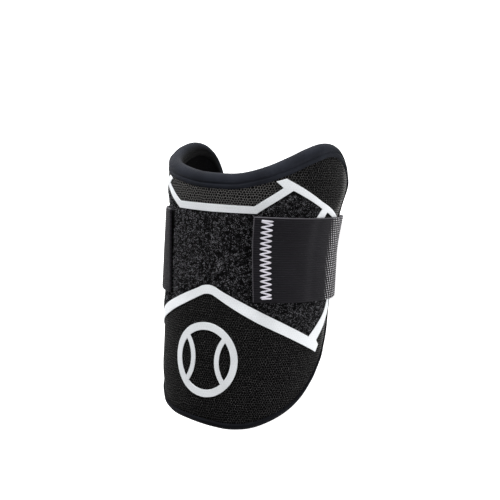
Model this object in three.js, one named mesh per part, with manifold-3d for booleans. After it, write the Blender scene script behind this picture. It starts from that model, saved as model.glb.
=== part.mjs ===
// Baseball elbow guard: a padded half sleeve that an elastic strap closes behind the arm.
// It lies on its strap: +Z is the front of the guard, +Y its upper end, and units are millimetres.

import * as THREE from 'three';
import { mergeVertices } from 'three/addons/utils/BufferGeometryUtils.js';
import { TessellateModifier } from 'three/addons/modifiers/TessellateModifier.js';
import Module from 'manifold-3d';

const wasm = await Module();
wasm.setup();

// Driving dimensions
const GUARD_LENGTH = 165.2;
const SLEEVE_RADIUS = 51;
const UPPER_RADIUS = 52.8;
const RIM_RADIUS = 52;
const LOWER_RADIUS = 49.8;
const SIDE_SQUEEZE = 6;
const CLEARANCE = 0.3;

// Thicknesses, from the outer face of the cover inwards and outwards
const COVER_THICKNESS = 1.2;
const LINER_THICKNESS = 5.6;
const ROLL_BULGE = 0.6;
const COLLAR_WIDTH = 9;
const PIPING_WIDTH = 4;
const PANEL_THICKNESS = 0.7;
const STRIPE_THICKNESS = 0.5;
const SKIN_GAP = 0.5;

// The strap: an elastic band, its hooked end and the radii it is bent to behind the arm
const STRAP_WIDTH = 48.4;
const STRAP_LEVEL = 16;
const STRAP_THICKNESS = 1.6;
const STRAP_FRONT_END = 28.5;
const FRONT_END_SLANT = 3.6;
const STRAP_SEWN_END = -33.5;
const SEWN_END_SLANT = 6.2;
const RIGHT_TURN_ANGLE = 118;
const LEFT_TURN_ANGLE = -128;
const LEFT_TURN_RADIUS = 8.8;
const HOOK_THICKNESS = 1;
const HOOK_LENGTH = 30;
const HOOK_INSET = 1.2;
const HOOK_RAMP = 10;

// Printed film: stripes and the ball motifs
const STRIPE_WIDTH = 4.2;
const STUB_WIDTH = 5;
const CHEVRON_WIDTH = 5.8;
const LOWER_BRANCH_WIDTH = 6;
const MOTIF_DIAMETER = 43;
const MOTIF_STROKE = 4.4;
const MOTIF_DROP = 0.47;
const MARK_DIAMETER = 30;
const MARK_STROKE = 3.2;
const MARK_ANGLE = -79;
const MARK_THICKNESS = 0.4;

// Mesh fineness
const FACE_EDGE = 16;
const FILM_EDGE = 11;
const OUTLINE_STEPS = 84;
const ROLL_SIDES = 5;
const MOTIF_STEPS = 20;
const SEAM_STEPS = 8;
const SEAM_SHARE = 0.7;
const EDGE_ROUNDING = 0.8;
const MERGE_DISTANCE = 1e-4;
const SPLIT_ROUNDS = 12;
const STRAP_STEPS = 60;
const HOOK_STEPS = 8;

// Outline of the guard laid flat: angle from the front in degrees, level as a share of half
// the length, and how much of the collar's extra width the edge has there
const OUTLINE = [
  { angle: 3, level: 0.764, collar: 1 },
  { angle: 17, level: 0.773, collar: 1 },
  { angle: 32.5, level: 0.822, collar: 1 },
  { angle: 47, level: 0.89, collar: 1 },
  { angle: 61, level: 0.958, collar: 1 },
  { angle: 73, level: 0.996, collar: 0.9 },
  { angle: 84, level: 0.995, collar: 0.7 },
  { angle: 95, level: 0.948, collar: 0.5 },
  { angle: 104, level: 0.868, collar: 0.3 },
  { angle: 110.5, level: 0.755, collar: 0.15 },
  { angle: 113.5, level: 0.6, collar: 0 },
  { angle: 114, level: 0.35, collar: 0 },
  { angle: 113, level: 0.1, collar: 0 },
  { angle: 111, level: -0.13, collar: 0 },
  { angle: 107.5, level: -0.34, collar: 0 },
  { angle: 101, level: -0.51, collar: 0 },
  { angle: 91, level: -0.64, collar: 0 },
  { angle: 79.5, level: -0.76, collar: 0 },
  { angle: 66, level: -0.862, collar: 0 },
  { angle: 51, level: -0.935, collar: 0 },
  { angle: 36, level: -0.984, collar: 0 },
  { angle: 20, level: -1, collar: 0 },
  { angle: 3, level: -0.988, collar: 0 },
  { angle: -15, level: -0.968, collar: 0 },
  { angle: -32, level: -0.95, collar: 0 },
  { angle: -47, level: -0.91, collar: 0 },
  { angle: -60, level: -0.83, collar: 0 },
  { angle: -73, level: -0.71, collar: 0 },
  { angle: -84, level: -0.57, collar: 0 },
  { angle: -94, level: -0.4, collar: 0 },
  { angle: -103, level: -0.22, collar: 0 },
  { angle: -112, level: -0.02, collar: 0 },
  { angle: -120, level: 0.19, collar: 0 },
  { angle: -125.5, level: 0.41, collar: 0 },
  { angle: -127, level: 0.61, collar: 0.1 },
  { angle: -123.5, level: 0.755, collar: 0.3 },
  { angle: -117, level: 0.865, collar: 0.5 },
  { angle: -108, level: 0.932, collar: 0.7 },
  { angle: -97, level: 0.952, collar: 0.8 },
  { angle: -84, level: 0.928, collar: 0.9 },
  { angle: -69, level: 0.882, collar: 1 },
  { angle: -54, level: 0.845, collar: 1 },
  { angle: -39, level: 0.815, collar: 1 },
  { angle: -24, level: 0.788, collar: 1 },
  { angle: -11, level: 0.769, collar: 1 },
];
const COLLAR_START = 0.755;
const COLLAR_END = 1.232;
const PIPING_START = COLLAR_END - 1;

// Centre lines of the film above the strap: angle in degrees, rise as a share of the field
// between the strap and the front of the rim; the mirrored branches stay a little lower
const UPPER_BAR = [
  { angle: -29, rise: 0.135 },
  { angle: 29, rise: 0.144 },
];
const UPPER_DIAGONAL = [
  { angle: 28.2, rise: 0.12 },
  { angle: 49, rise: 0.73 },
];
const UPPER_STUB = [
  { angle: 42, rise: 0.935 },
  { angle: 49, rise: 0.72 },
];
const UPPER_ARM = [
  { angle: 47.2, rise: 0.85 },
  { angle: 75.2, rise: 0.32 },
  { angle: 102, rise: -0.12 },
];
const UPPER_FORK = [
  { angle: 81, rise: 0.23 },
  { angle: 73, rise: -0.4 },
];
const MIRRORED_RISE = 0.88;

// Centre lines of the film below the strap: drop as a share of the field below the strap
const CHEVRON = [
  { angle: 0, drop: -0.066 },
  { angle: 86.5, drop: 0.37 },
];
const LOWER_BRANCH = [
  { angle: 80, drop: 0.305 },
  { angle: 99, drop: 0.07 },
  { angle: 103, drop: -0.06 },
];

// Outline of the pile panel's right half, under the middle of the film that frames it
const PANEL_TOP = [
  { angle: 29, rise: 0.13 },
  { angle: 48.6, rise: 0.76 },
  { angle: 78, rise: 0.29 },
];
const PANEL_BOTTOM = [
  { angle: 101, drop: -0.02 },
  { angle: 81, drop: 0.32 },
];

// Colour, roughness and metalness of each finish
const FINISHES = {
  jersey: { color: 0x15171c, roughness: 0.8, metalness: 0 },
  honeycomb: { color: 0x141414, roughness: 0.7, metalness: 0 },
  pile: { color: 0x0d0d0e, roughness: 0.95, metalness: 0 },
  elastic: { color: 0x26252a, roughness: 0.75, metalness: 0 },
  film: { color: 0xdfe1e4, roughness: 0.5, metalness: 0 },
  hook: { color: 0x1b1b1d, roughness: 0.6, metalness: 0 },
};

// Sizes that follow from the driving dimensions
const HALF_LENGTH = GUARD_LENGTH / 2;
const STRAP_TOP = STRAP_LEVEL + STRAP_WIDTH / 2;
const STRAP_BOTTOM = STRAP_LEVEL - STRAP_WIDTH / 2;
const FRONT_LEVEL = OUTLINE[0].level * HALF_LENGTH;
const UPPER_FIELD = FRONT_LEVEL - STRAP_TOP;
const LOWER_FIELD = STRAP_BOTTOM + HALF_LENGTH;
const LINER_OUTER = -COVER_THICKNESS - CLEARANCE;
const LINER_INNER = LINER_OUTER - LINER_THICKNESS;
const PANEL_OUTER = SKIN_GAP + PANEL_THICKNESS;
const STRAP_INNER = PANEL_OUTER + CLEARANCE;
const STRAP_OUTER = STRAP_INNER + STRAP_THICKNESS;
const STRAP_RISE = HOOK_THICKNESS + CLEARANCE;
const STRAP_PATH_RADIUS = SLEEVE_RADIUS + STRAP_INNER + STRAP_THICKNESS / 2;
const AXIS_HEIGHT = STRAP_THICKNESS / 2
  - STRAP_PATH_RADIUS * Math.cos(radians(LEFT_TURN_ANGLE))
  + LEFT_TURN_RADIUS * (1 + Math.cos(radians(LEFT_TURN_ANGLE)));

function radians(degrees) {
  return THREE.MathUtils.degToRad(degrees);
}

// Outer radius of the cover at a level: swollen above the strap, curled in towards the rim,
// and narrower towards the lower end
function radiusAt(level) {
  const swell = THREE.MathUtils.smoothstep(level, STRAP_TOP, FRONT_LEVEL);
  const curl = THREE.MathUtils.smoothstep(level, (STRAP_TOP + FRONT_LEVEL) / 2, HALF_LENGTH);
  const lower = THREE.MathUtils.smoothstep(-level, -STRAP_BOTTOM, HALF_LENGTH);
  return SLEEVE_RADIUS + swell * (UPPER_RADIUS - SLEEVE_RADIUS)
    - curl * (UPPER_RADIUS - RIM_RADIUS) - lower * (SLEEVE_RADIUS - LOWER_RADIUS);
}

// The strap's pull draws the right side in, below the swollen part
function squeezed(point) {
  if (point.x > 0) {
    const pull = THREE.MathUtils.smoothstep(-point.y, -FRONT_LEVEL, -STRAP_LEVEL);
    point.x *= 1 - (pull * SIDE_SQUEEZE) / SLEEVE_RADIUS;
  }
  return point;
}

// From the flat pattern to the sleeve: x runs round it, y along it, z out of its cover
function wrap(flat) {
  const angle = flat.x / SLEEVE_RADIUS;
  const radius = radiusAt(flat.y) + flat.z;
  const point = new THREE.Vector3(radius * Math.sin(angle), flat.y, AXIS_HEIGHT + radius * Math.cos(angle));
  return squeezed(point);
}

function flatPoint(angle, level) {
  return new THREE.Vector2(SLEEVE_RADIUS * radians(angle), level);
}

function mapPositions(geometry, map) {
  const position = geometry.attributes.position;
  const point = new THREE.Vector3();
  for (let i = 0; i < position.count; i += 1) {
    point.fromBufferAttribute(position, i);
    point.copy(map(point));
    position.setXYZ(i, point.x, point.y, point.z);
  }
  return geometry;
}

function positionsOnly(geometry) {
  geometry.deleteAttribute('normal');
  geometry.deleteAttribute('uv');
  return mergeVertices(geometry, MERGE_DISTANCE);
}

function named(name, geometry, finish) {
  geometry.computeVertexNormals();
  const mesh = new THREE.Mesh(geometry, new THREE.MeshStandardMaterial(FINISHES[finish]));
  mesh.name = name;
  return mesh;
}

// A flat outline given a thickness between two heights, still in the flat pattern
function plate(shape, inner, outer) {
  const options = { depth: outer - inner, bevelEnabled: false, curveSegments: MOTIF_STEPS };
  return positionsOnly(new THREE.ExtrudeGeometry(shape, options).translate(0, 0, inner));
}

// A plate with short edges, wrapped round the sleeve
function wrapped(flat, edge) {
  const fine = new TessellateModifier(edge, SPLIT_ROUNDS).modify(flat);
  return mapPositions(mergeVertices(fine, MERGE_DISTANCE), wrap);
}

function toSolid(geometry) {
  return new wasm.Manifold(new wasm.Mesh({
    numProp: 3,
    vertProperties: Float32Array.from(geometry.attributes.position.array),
    triVerts: Uint32Array.from(geometry.index.array),
  }));
}

function toGeometry(solid) {
  const mesh = solid.getMesh();
  const geometry = new THREE.BufferGeometry();
  geometry.setAttribute('position', new THREE.BufferAttribute(mesh.vertProperties, 3));
  geometry.setIndex(new THREE.BufferAttribute(mesh.triVerts, 1));
  return geometry;
}

// Rings of equal count joined side to side, closed round or capped at both ends
function loft(rings, closed) {
  const sides = rings[0].length;
  const positions = rings.flat().flatMap((point) => point.toArray());
  const index = [];
  const last = closed ? rings.length : rings.length - 1;
  for (let i = 0; i < last; i += 1) {
    const next = (i + 1) % rings.length;
    for (let k = 0; k < sides; k += 1) {
      const side = (k + 1) % sides;
      const corners = [i * sides + k, i * sides + side, next * sides + side, next * sides + k];
      index.push(corners[0], corners[2], corners[1], corners[0], corners[3], corners[2]);
    }
  }
  if (!closed) {
    const end = (rings.length - 1) * sides;
    for (let k = 1; k < sides - 1; k += 1) {
      index.push(0, k, k + 1, end, end + k + 1, end + k);
    }
  }
  const geometry = new THREE.BufferGeometry();
  geometry.setAttribute('position', new THREE.Float32BufferAttribute(positions, 3));
  geometry.setIndex(index);
  return geometry;
}

// The guard's edge in the flat pattern, with the width of its rolled binding in z
const edgeCurve = new THREE.CatmullRomCurve3(
  OUTLINE.map((row) => {
    const point = flatPoint(row.angle, row.level * HALF_LENGTH);
    const width = PIPING_WIDTH + row.collar * (COLLAR_WIDTH - PIPING_WIDTH);
    return new THREE.Vector3(point.x, point.y, width);
  }),
  true,
);

// A point of the edge, its inward direction and the binding's width
function edgeAt(share) {
  const turn = share - Math.floor(share);
  const point = edgeCurve.getPointAt(turn);
  const tangent = edgeCurve.getTangentAt(turn);
  const inward = new THREE.Vector2(tangent.y, -tangent.x).normalize();
  return { point: new THREE.Vector2(point.x, point.y), inward, width: point.z };
}

// The outline of what lies inside the binding
function fieldOutline() {
  const points = [];
  for (let i = 0; i < OUTLINE_STEPS; i += 1) {
    const { point, inward, width } = edgeAt(i / OUTLINE_STEPS);
    points.push(point.clone().addScaledVector(inward, width + CLEARANCE));
  }
  return points;
}

// Section of the rolled binding: a flat inner end, two bulging faces and a round edge
function rollSection(width) {
  const low = LINER_INNER - ROLL_BULGE / 2;
  const high = ROLL_BULGE / 2;
  const radius = Math.min((high - low) / 2, width * EDGE_ROUNDING);
  const middle = (high + low) / 2;
  const points = [
    { inset: width, height: LINER_INNER },
    { inset: width, height: 0 },
    { inset: (width + radius) / 2, height: high },
  ];
  for (let i = 0; i <= ROLL_SIDES; i += 1) {
    const turn = Math.PI * (i / ROLL_SIDES);
    points.push({
      inset: radius * (1 - Math.sin(turn)),
      height: middle + ((high - low) / 2) * Math.cos(turn),
    });
  }
  points.push({ inset: (width + radius) / 2, height: low });
  return points;
}

// The rolled binding between two shares of the way round the edge
function roll(start, end) {
  const rings = [];
  const last = Math.round(OUTLINE_STEPS * end);
  for (let i = Math.round(OUTLINE_STEPS * start); i <= last; i += 1) {
    const { point, inward, width } = edgeAt(i / OUTLINE_STEPS);
    rings.push(rollSection(width).map(({ inset, height }) => {
      const flat = point.clone().addScaledVector(inward, inset);
      return wrap(new THREE.Vector3(flat.x, flat.y, height));
    }));
  }
  return loft(rings, false);
}

// A band of even width along a centre line, mitred at its corners
function bandOutline(line, width) {
  const left = [];
  const right = [];
  line.forEach((point, i) => {
    const before = line[Math.max(i - 1, 0)];
    const after = line[Math.min(i + 1, line.length - 1)];
    const into = point.clone().sub(i > 0 ? before : after).normalize();
    const out = after.clone().sub(i < line.length - 1 ? point : before).normalize();
    const along = i === 0 ? out : i === line.length - 1 ? into : into.clone().add(out).normalize();
    const side = new THREE.Vector2(-along.y, along.x);
    const cosine = i === 0 || i === line.length - 1 ? 1 : along.dot(out);
    left.push(point.clone().addScaledVector(side, width / 2 / cosine));
    right.unshift(point.clone().addScaledVector(side, -width / 2 / cosine));
  });
  return left.concat(right).reverse();
}

function upperPoint({ angle, rise }) {
  return flatPoint(angle, STRAP_TOP + rise * UPPER_FIELD);
}

function lowerPoint({ angle, drop }) {
  return flatPoint(angle, STRAP_BOTTOM - drop * LOWER_FIELD);
}

function mirrored(points) {
  return points.map((point) => new THREE.Vector2(-point.x, point.y)).reverse();
}

function union(solids) {
  return solids.reduce((whole, solid) => whole.add(solid));
}

function band(line, width, inner, outer) {
  return toSolid(plate(new THREE.Shape(bandOutline(line, width)), inner, outer));
}

// The two films, flat, grown all round by a margin, between two heights
function upperFilm(margin, inner, outer) {
  const bands = [band(UPPER_BAR.map(upperPoint), STRIPE_WIDTH + 2 * margin, inner, outer)];
  for (const branch of [UPPER_DIAGONAL, UPPER_STUB, UPPER_ARM, UPPER_FORK]) {
    const width = (branch === UPPER_STUB ? STUB_WIDTH : STRIPE_WIDTH) + 2 * margin;
    const lowered = branch.map(({ angle, rise }) => ({ angle, rise: rise * MIRRORED_RISE }));
    bands.push(band(branch.map(upperPoint), width, inner, outer));
    bands.push(band(mirrored(lowered.map(upperPoint)), width, inner, outer));
  }
  return union(bands);
}

function lowerFilm(margin, inner, outer) {
  const leg = CHEVRON.map(lowerPoint);
  const chevron = [...mirrored(leg).slice(0, -1), ...leg];
  const branch = LOWER_BRANCH.map(lowerPoint);
  return union([
    band(chevron, CHEVRON_WIDTH + 2 * margin, inner, outer),
    band(branch, LOWER_BRANCH_WIDTH + 2 * margin, inner, outer),
    band(mirrored(branch), LOWER_BRANCH_WIDTH + 2 * margin, inner, outer),
  ]);
}

// The pile panel: the field between the films, cut clear of them
function loopPanel() {
  const lowered = PANEL_TOP.map(({ angle, rise }) => ({ angle, rise: rise * MIRRORED_RISE }));
  const bottom = PANEL_BOTTOM.map(lowerPoint);
  const right = [...PANEL_TOP.map(upperPoint), ...bottom];
  const left = mirrored([...lowered.map(upperPoint), ...bottom]);
  const outline = [...right, lowerPoint(CHEVRON[0]), ...left].reverse();
  const panel = toSolid(plate(new THREE.Shape(outline), SKIN_GAP, PANEL_OUTER));
  const cut = upperFilm(CLEARANCE, 0, 2 * PANEL_OUTER).add(lowerFilm(CLEARANCE, 0, 2 * PANEL_OUTER));
  return largest(panel.subtract(cut));
}

function largest(solid) {
  const parts = solid.decompose();
  return parts.reduce((best, part) => (part.volume() > best.volume() ? part : best));
}

// A ring with two curved seams inside it, like a ball
function ballMotif(diameter, stroke, inner, outer) {
  const disc = new THREE.Shape().absarc(0, 0, diameter / 2, 0, 2 * Math.PI);
  disc.holes.push(new THREE.Path().absarc(0, 0, diameter / 2 - stroke, 0, 2 * Math.PI, true));
  const radius = (diameter - stroke) / 2;
  const seams = [0, Math.PI].map((facing) => {
    const centre = new THREE.Vector2(-radius * Math.SQRT2, 0);
    const line = [];
    for (let i = 0; i <= SEAM_STEPS; i += 1) {
      const turn = (i / SEAM_STEPS - 1 / 2) * (Math.PI / 2);
      const point = new THREE.Vector2(Math.cos(turn), Math.sin(turn)).multiplyScalar(radius);
      line.push(point.add(centre).rotateAround(new THREE.Vector2(), facing));
    }
    return new THREE.Shape(bandOutline(line, stroke * SEAM_SHARE));
  });
  return toGeometry(union([disc, ...seams].map((shape) => toSolid(plate(shape, inner, outer)))));
}

// The strap's way round, seen from its lower end: arcs on the sleeve, two turns and a flat back
function strapPath() {
  const height = STRAP_THICKNESS / 2;
  const fromX = (angle) => Math.PI / 2 - radians(angle);
  const reach = (angle, turnRadius) => (STRAP_PATH_RADIUS - turnRadius) * Math.sin(radians(angle));
  const rightDrop = AXIS_HEIGHT - height + STRAP_PATH_RADIUS * Math.cos(radians(RIGHT_TURN_ANGLE));
  const rightTurn = rightDrop / (1 + Math.cos(radians(RIGHT_TURN_ANGLE)));
  const path = new THREE.Path();
  path.absarc(0, AXIS_HEIGHT, STRAP_PATH_RADIUS, fromX(STRAP_FRONT_END), fromX(RIGHT_TURN_ANGLE), true);
  path.absarc(reach(RIGHT_TURN_ANGLE, rightTurn), height + rightTurn, rightTurn,
    fromX(RIGHT_TURN_ANGLE), -Math.PI / 2, true);
  path.absarc(reach(LEFT_TURN_ANGLE, LEFT_TURN_RADIUS), height + LEFT_TURN_RADIUS, LEFT_TURN_RADIUS,
    -Math.PI / 2, fromX(LEFT_TURN_ANGLE) - 2 * Math.PI, true);
  path.absarc(0, AXIS_HEIGHT, STRAP_PATH_RADIUS,
    fromX(LEFT_TURN_ANGLE) - 2 * Math.PI, fromX(STRAP_SEWN_END) - 2 * Math.PI, true);
  return path;
}

const strapWay = strapPath();

// A point on the strap's way: distance from its front end, level, and height over its middle
function onStrap(distance, level, height) {
  const share = THREE.MathUtils.clamp(distance / strapWay.getLength(), 0, 1);
  const point = strapWay.getPoint(share);
  const tangent = strapWay.getTangent(share);
  return squeezed(new THREE.Vector3(point.x - tangent.y * height, level, point.y + tangent.x * height));
}

// How far the strap is lifted by the hook patch under its front end
function strapLift(distance) {
  const liftEnd = HOOK_LENGTH + HOOK_INSET + FRONT_END_SLANT;
  return STRAP_RISE * (1 - THREE.MathUtils.smoothstep(distance, liftEnd, liftEnd + HOOK_RAMP));
}

function strapBand() {
  const length = strapWay.getLength();
  const box = new THREE.BoxGeometry(1, STRAP_WIDTH, STRAP_THICKNESS, STRAP_STEPS, 1, 1);
  return mapPositions(positionsOnly(box), ({ x, y, z }) => {
    const start = FRONT_END_SLANT * (1 / 2 - y / STRAP_WIDTH);
    const end = length - SEWN_END_SLANT * (1 / 2 + y / STRAP_WIDTH);
    const distance = THREE.MathUtils.lerp(start, end, x + 1 / 2);
    return onStrap(distance, STRAP_LEVEL + y, z + strapLift(distance));
  });
}

function hookPatch() {
  const width = STRAP_WIDTH - 2 * HOOK_INSET;
  const box = new THREE.BoxGeometry(HOOK_LENGTH, width, HOOK_THICKNESS, HOOK_STEPS, 1, 1);
  const drop = (STRAP_THICKNESS - HOOK_THICKNESS) / 2;
  return mapPositions(positionsOnly(box), ({ x, y, z }) => {
    const start = FRONT_END_SLANT * (1 / 2 - y / STRAP_WIDTH) + HOOK_INSET;
    return onStrap(start + x + HOOK_LENGTH / 2, STRAP_LEVEL + y, z - drop);
  });
}

const field = new THREE.Shape(fieldOutline());
const emblem = ballMotif(MOTIF_DIAMETER, MOTIF_STROKE, SKIN_GAP, SKIN_GAP + STRIPE_THICKNESS);
const emblemPlace = lowerPoint({ angle: 0, drop: MOTIF_DROP });
const markBase = STRAP_OUTER + SKIN_GAP;
const mark = ballMotif(MARK_DIAMETER, MARK_STROKE, markBase, markBase + MARK_THICKNESS);
const markPlace = flatPoint(MARK_ANGLE, STRAP_LEVEL);
const filmTop = SKIN_GAP + STRIPE_THICKNESS;

const group = new THREE.Group();
group.add(
  named('padded_liner', wrapped(plate(field, LINER_INNER, LINER_OUTER), FACE_EDGE), 'jersey'),
  named('knit_cover', wrapped(plate(field, -COVER_THICKNESS, 0), FACE_EDGE), 'honeycomb'),
  named('rolled_collar', roll(COLLAR_START, COLLAR_END), 'jersey'),
  named('edge_piping', roll(PIPING_START, COLLAR_START), 'jersey'),
  named('loop_panel', wrapped(toGeometry(loopPanel()), FILM_EDGE), 'pile'),
  named('upper_stripes', wrapped(toGeometry(upperFilm(0, SKIN_GAP, filmTop)), FILM_EDGE), 'film'),
  named('lower_stripes', wrapped(toGeometry(lowerFilm(0, SKIN_GAP, filmTop)), FILM_EDGE), 'film'),
  named('ball_emblem', wrapped(emblem.translate(emblemPlace.x, emblemPlace.y, 0), FILM_EDGE), 'film'),
  named('elastic_strap', strapBand(), 'elastic'),
  named('hook_patch', hookPatch(), 'hook'),
  named('strap_mark', wrapped(mark.translate(markPlace.x, markPlace.y, 0), FILM_EDGE), 'film'),
);

// The origin is the middle of the guard's footprint
const middle = new THREE.Box3().setFromObject(group).getCenter(new THREE.Vector3());
group.children.forEach((mesh) => mesh.geometry.translate(-middle.x, -middle.y, 0));

export default group;
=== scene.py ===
"""Models, shades and lights a padded baseball elbow guard that an elastic strap closes."""

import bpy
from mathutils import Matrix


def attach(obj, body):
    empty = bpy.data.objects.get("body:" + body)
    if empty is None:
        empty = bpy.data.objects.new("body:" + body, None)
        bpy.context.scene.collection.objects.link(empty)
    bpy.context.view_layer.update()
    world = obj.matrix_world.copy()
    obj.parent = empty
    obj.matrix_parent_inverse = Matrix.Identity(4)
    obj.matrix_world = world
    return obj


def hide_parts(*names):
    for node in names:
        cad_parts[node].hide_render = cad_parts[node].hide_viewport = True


bl_info = {
    "name": "Elbow Guard",
    "version": (1, 0, 0),
    "blender": (4, 5, 0),
    "location": "3D View > Sidebar > Elbow Guard",
    "description": "Builds a padded elbow guard with knit cover, film stripes, pile and strap",
    "category": "Object",
}

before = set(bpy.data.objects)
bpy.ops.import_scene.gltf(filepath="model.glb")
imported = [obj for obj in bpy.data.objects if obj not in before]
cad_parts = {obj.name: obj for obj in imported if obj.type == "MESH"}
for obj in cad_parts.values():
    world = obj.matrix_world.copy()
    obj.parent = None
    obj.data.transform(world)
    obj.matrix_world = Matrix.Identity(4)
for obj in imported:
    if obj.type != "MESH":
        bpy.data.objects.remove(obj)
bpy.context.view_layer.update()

import math

import bmesh
import bpy
import numpy as np
from bpy.props import FloatProperty, FloatVectorProperty, IntProperty, PointerProperty
from bpy.types import Operator, Panel, PropertyGroup
from mathutils import Matrix, Vector

MM = 0.001

# The guard's edge laid flat: angle from the front in degrees, level as a share of half the
# length, and how much of the collar's extra width the binding has there
OUTLINE = (
    (3, 0.764, 1), (17, 0.773, 1), (32.5, 0.822, 1), (47, 0.89, 1), (61, 0.958, 1),
    (73, 0.996, 0.9), (84, 0.995, 0.7), (95, 0.948, 0.5), (104, 0.868, 0.3), (110.5, 0.755, 0.15),
    (113.5, 0.6, 0), (114, 0.35, 0), (113, 0.1, 0), (111, -0.13, 0), (107.5, -0.34, 0),
    (101, -0.51, 0), (91, -0.64, 0), (79.5, -0.76, 0), (66, -0.862, 0), (51, -0.935, 0),
    (36, -0.984, 0), (20, -1, 0), (3, -0.988, 0), (-15, -0.968, 0), (-32, -0.95, 0),
    (-47, -0.91, 0), (-60, -0.83, 0), (-73, -0.71, 0), (-84, -0.57, 0), (-94, -0.4, 0),
    (-103, -0.22, 0), (-112, -0.02, 0), (-120, 0.19, 0), (-125.5, 0.41, 0), (-127, 0.61, 0.1),
    (-123.5, 0.755, 0.3), (-117, 0.865, 0.5), (-108, 0.932, 0.7), (-97, 0.952, 0.8),
    (-84, 0.928, 0.9), (-69, 0.882, 1), (-54, 0.845, 1), (-39, 0.815, 1), (-24, 0.788, 1),
    (-11, 0.769, 1),
)
# Stations of the smoothed edge, and the two where the wide collar begins and ends
EDGE_STEPS = 420
COLLAR_FROM, COLLAR_TO = 315, 515

# Right halves of the film outlines: angle in degrees, and a share of the field above or below
# the strap, counted away from it
UPPER_FILM = (
    (0, 0.235), (27.9, 0.236), (44.4, 0.72), (39.5, 0.873), (45.9, 0.952), (73.8, 0.415),
    (99.8, 0.026), (106, -0.1), (100, -0.12), (83.5, 0.13), (82.3, 0.03), (78, -0.3),
    (70.5, -0.3), (74.5, 0.035), (76.7, 0.223), (50.8, 0.664), (30, 0.057), (0, 0.045),
)
LOWER_FILM = (
    (0, -0.106), (2.5, -0.1035), (5, -0.096), (9, -0.0715), (26.3, 0.015), (76.8, 0.276),
    (96.4, 0.065), (103, -0.03), (105.5, -0.03), (105.5, 0.075), (85.6, 0.312), (88.8, 0.352),
    (85.8, 0.407), (36.1, 0.159), (20, 0.067), (7, -0.011), (3, -0.034), (0, -0.038),
)
# The pile panel, in the same measures
PILE_TOP = ((0, 0.14), (29, 0.13), (48.6, 0.76), (78, 0.29))
PILE_BOTTOM = ((101, -0.02), (81, 0.32), (0, -0.066))
# The left halves: how high they rise beside the right ones, and the angle of the lower film's end
MIRRORED_RISE = 0.88
LEFT_FILM_END = 98.5

# Cuts of the grids that are wrapped, and steps of each arc of the strap's way
COVER_CUTS, LINER_CUTS, BINDING_CUTS = 132, 110, 64
STRAP_CUTS, CUTS_PER_RIB, HOOK_CUTS, THREAD_SIDES = 190, 4, (40, 60), 8
ARC_STEPS = 240

# Relief of the padded cover: crown inside the binding, groove at its seam, unevenness, and how
# far from the strap it is full again
CROWN, CROWN_REACH = 0.9 * MM, 13 * MM
SEAM_DEPTH, SEAM_WIDTH = 0.45 * MM, 1.1 * MM
UNEVEN, UNEVEN_REACH = 0.22 * MM, 10 * MM
STRAP_FADE = 9 * MM

# Relief of the lining: crown, unevenness, and a seam some way inside the binding
LINING_CROWN, LINING_REACH, LINING_UNEVEN = 0.9 * MM, 9 * MM, 0.25 * MM
LINING_SEAM, LINING_SEAM_AT, LINING_SEAM_WIDTH = 0.9 * MM, 11 * MM, 0.9 * MM

# Shares of the way round the binding's section: at its rim, and where its under side ends
SECTION_RIM, SECTION_END = 0.46, 0.92
# Its grooves: depth and width at the seam, then place, depth and width of the collar's second one
GROOVE, GROOVE_WIDTH = 0.75 * MM, 0.6 * MM
SECOND_AT, SECOND_GROOVE, SECOND_WIDTH = 3.1 * MM, 0.65 * MM, 0.5 * MM

# Flat plates: thickness, rounding of the edge, lift over what they lie on, and their cuts
FILM_HEIGHT, FILM_BEVEL, FILM_LIFT, FILM_CUTS = 0.34 * MM, 0.12 * MM, 0.3 * MM, (2 * MM, 4 * MM)
MARK_HEIGHT, MARK_BEVEL, MARK_LIFT = 0.2 * MM, 0.06 * MM, 0.05 * MM
BASE_HEIGHT, BASE_BEVEL, BASE_LIFT, BASE_CUTS = 0.3 * MM, 0.1 * MM, 0.06 * MM, (2.5 * MM, 3 * MM)
EMBLEM_CUTS = (2.5 * MM, 4 * MM)

# Rounding and sway of the strap's selvedges, and rounding of its two ends
SELVEDGE_WIDTH, SELVEDGE_DROP, SELVEDGE_SWAY = 1.3 * MM, 0.35 * MM, 0.18 * MM
END_WIDTH, END_DROP = 0.8 * MM, 0.3 * MM

# Layers of the pile: piece, loop radius, thread radius, turn in degrees, steps, spacing, seed, lean
PILE_LAYERS = (
    ("pile_loops", 0.58 * MM, 0.17 * MM, 240, 6, 0.72 * MM, 3, 0.5),
    ("pile_fuzz", 0.42 * MM, 0.14 * MM, 220, 5, 0.68 * MM, 17, 0.2),
)
# The sheet they stand on: lift, cuts, and how far they stay from its edge and from the films
PILE_LIFT, PILE_CUTS, EDGE_GAP, FILM_GAP = 0.45 * MM, (1.1 * MM, 1.1 * MM), 1.2 * MM, 0.6 * MM
# How far they reach under the strap's long edge, and stay from its two ends in radians
UNDER_STRAP, PAST_FRONT_END, PAST_SEWN_END = 1 * MM, 0.1, 0.06

# Painted highlights on the knit, on the flat pattern: above the strap in front, at the right, and
# their gain
GLINT_ABOVE, GLINT_FRONT = (36 * MM, 47 * MM), (20 * MM, 55 * MM)
GLINT_ASIDE, GLINT_GAIN = (79 * MM, 92 * MM), 2.8

# Painted glints round the strap's right turn, as distances along it; pitches of the weave and of
# the dots
GLINT_START, GLINT_END = (60 * MM, 68 * MM), (88 * MM, 125 * MM)
WEFT_PITCH, GLINT_DOT_PITCH = 0.7 * MM, 3.3 * MM

# Colours that follow from no setting
KNIT_HOLE = (0.0004, 0.0004, 0.0004)
JERSEY_LINT = (0.05, 0.052, 0.064)
# Colour of the painted glints on some of the pile's loops
PILE_GLINT = (0.15, 0.15, 0.162)
ELASTIC_LINT = (0.06, 0.058, 0.065)
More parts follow.
